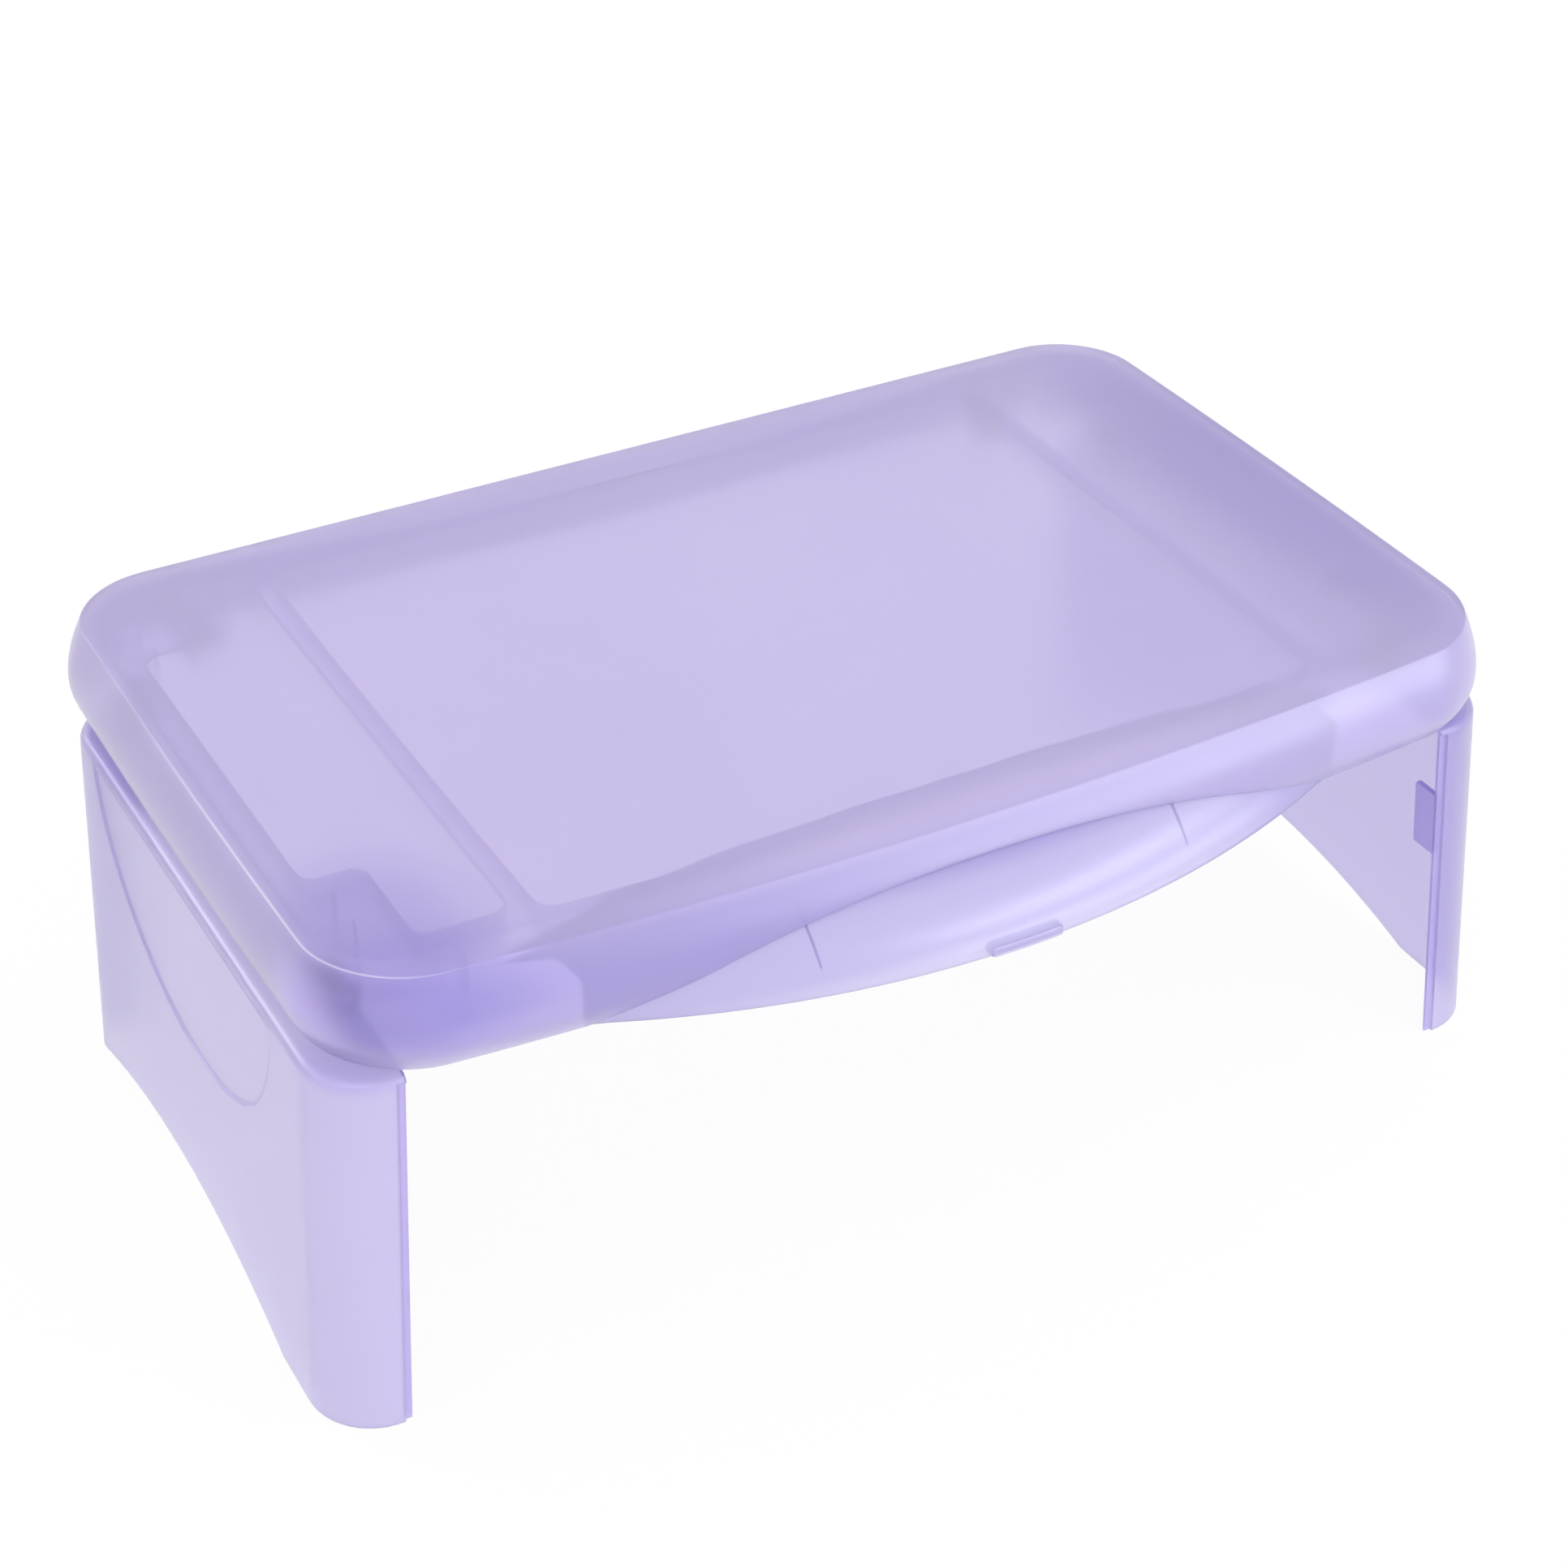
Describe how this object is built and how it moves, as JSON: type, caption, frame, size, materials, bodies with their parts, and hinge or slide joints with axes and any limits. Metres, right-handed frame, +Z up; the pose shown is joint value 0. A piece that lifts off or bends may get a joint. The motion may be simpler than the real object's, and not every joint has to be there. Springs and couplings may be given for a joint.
{
  "type": "lap desk with lift lid",
  "caption": "Folding lap desk: a shallow storage tray under a hinged lift lid, standing on fold-in legs with arched feet.",
  "frame": {"origin": "on the floor under the middle of the whole outline, legs open and lid closed", "axes": "+X along the length to the right, +Y away from the user's front edge with the chin, +Z up"},
  "size_m": [0.474, 0.3095, 0.1775],
  "materials": {
    "frosted_plastic": "frosted translucent lavender polypropylene",
    "thick_plastic": "thicker frosted lavender polypropylene, so darker",
    "pin_steel": "plain bright steel rod"
  },
  "bodies": {
    "tray": {"base_tray": "frosted_plastic", "grip_bar": "thick_plastic", "left_front_leg_pin": "pin_steel", "left_rear_leg_pin": "pin_steel", "right_front_leg_pin": "pin_steel", "right_rear_leg_pin": "pin_steel", "left_lid_pin": "pin_steel", "right_lid_pin": "pin_steel"},
    "lid": {"lid": "frosted_plastic"},
    "left_leg": {"left_leg": "frosted_plastic"},
    "right_leg": {"right_leg": "frosted_plastic", "right_leg_catch": "thick_plastic"}
  },
  "joints": [
    {"name": "lid_hinge", "type": "hinge", "parent": "tray", "child": "lid", "pos_m": [0, 0.1404, 0.1465], "axis": [-1, 0, 0], "range_deg": [0, 105]},
    {"name": "left_leg_hinge", "type": "hinge", "parent": "tray", "child": "left_leg", "pos_m": [-0.2065, 0.0155, 0.1474], "axis": [0, -1, 0], "range_deg": [0, 93.8]},
    {"name": "right_leg_hinge", "type": "hinge", "parent": "tray", "child": "right_leg", "pos_m": [0.2065, 0.0155, 0.1474], "axis": [0, 1, 0], "range_deg": [0, 93.8]}
  ]
}
